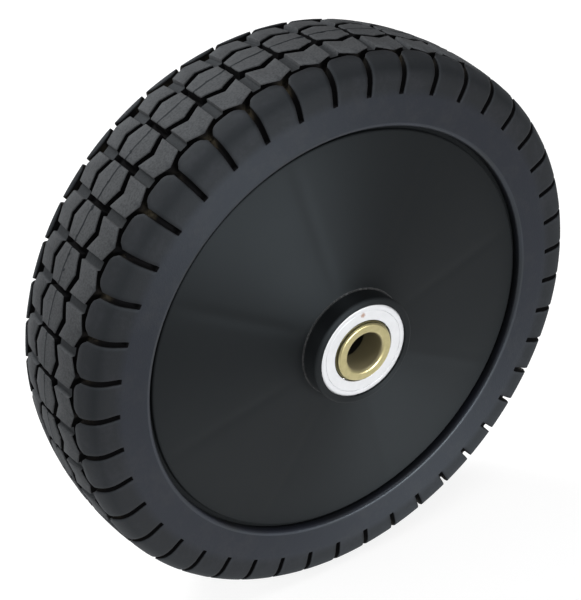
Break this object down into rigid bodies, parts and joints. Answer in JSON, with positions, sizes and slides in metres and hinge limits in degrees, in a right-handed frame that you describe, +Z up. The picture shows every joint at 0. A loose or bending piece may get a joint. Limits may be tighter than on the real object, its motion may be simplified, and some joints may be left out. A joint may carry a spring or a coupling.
{
  "type": "lawn mower wheel",
  "caption": "Black lawn mower wheel: block-tread rubber tyre on a dished plastic rim, with sealed ball bearings in the hub for a plain axle.",
  "frame": {"origin": "on the axle line, in the middle plane of the tyre", "axes": "+Y along the axle towards the back of the wheel, +Z up, the bearing face in the picture towards -Y"},
  "size_m": [0.2032, 0.0603, 0.2032],
  "materials": {
    "tyre_rubber": "moulded rubber, satin sidewall and dusty tread",
    "rim_plastic": "smooth injection moulding with a soft sheen",
    "white_zinc": "bright zinc plate, a rust speck on the front shield",
    "yellow_zinc": "yellow zinc plate, turned face",
    "ball_steel": "polished",
    "spacer_steel": "drawn steel tube"
  },
  "bodies": {
    "axle_core": {"front_inner_race": "yellow_zinc", "rear_inner_race": "yellow_zinc", "spacer_tube": "spacer_steel"},
    "wheel": {"tyre": "tyre_rubber", "wheel_rim": "rim_plastic", "front_outer_race": "white_zinc", "front_outer_shield": "white_zinc", "front_inner_shield": "white_zinc", "rear_outer_race": "white_zinc", "rear_outer_shield": "white_zinc", "rear_inner_shield": "white_zinc"},
    "front_balls": {"front_ball_01": "ball_steel", "front_ball_02": "ball_steel", "front_ball_03": "ball_steel", "front_ball_04": "ball_steel", "front_ball_05": "ball_steel", "front_ball_06": "ball_steel", "front_ball_07": "ball_steel", "front_ball_08": "ball_steel", "front_ball_09": "ball_steel", "front_ball_10": "ball_steel", "front_ball_11": "ball_steel", "front_ball_12": "ball_steel"},
    "rear_balls": {"rear_ball_01": "ball_steel", "rear_ball_02": "ball_steel", "rear_ball_03": "ball_steel", "rear_ball_04": "ball_steel", "rear_ball_05": "ball_steel", "rear_ball_06": "ball_steel", "rear_ball_07": "ball_steel", "rear_ball_08": "ball_steel", "rear_ball_09": "ball_steel", "rear_ball_10": "ball_steel", "rear_ball_11": "ball_steel", "rear_ball_12": "ball_steel"}
  },
  "joints": [
    {"name": "wheel_spin", "type": "hinge", "parent": "axle_core", "child": "wheel", "pos_m": [0, 0, 0], "axis": [0, 1, 0], "continuous": true},
    {"name": "front_ball_orbit", "type": "hinge", "parent": "axle_core", "child": "front_balls", "pos_m": [0, 0, 0], "axis": [0, 1, 0], "continuous": true},
    {"name": "rear_ball_orbit", "type": "hinge", "parent": "axle_core", "child": "rear_balls", "pos_m": [0, 0, 0], "axis": [0, 1, 0], "continuous": true}
  ],
  "couplings": [
    {"joint": "front_ball_orbit", "follows": "wheel_spin", "ratio": 0.62309},
    {"joint": "rear_ball_orbit", "follows": "wheel_spin", "ratio": 0.62309}
  ]
}
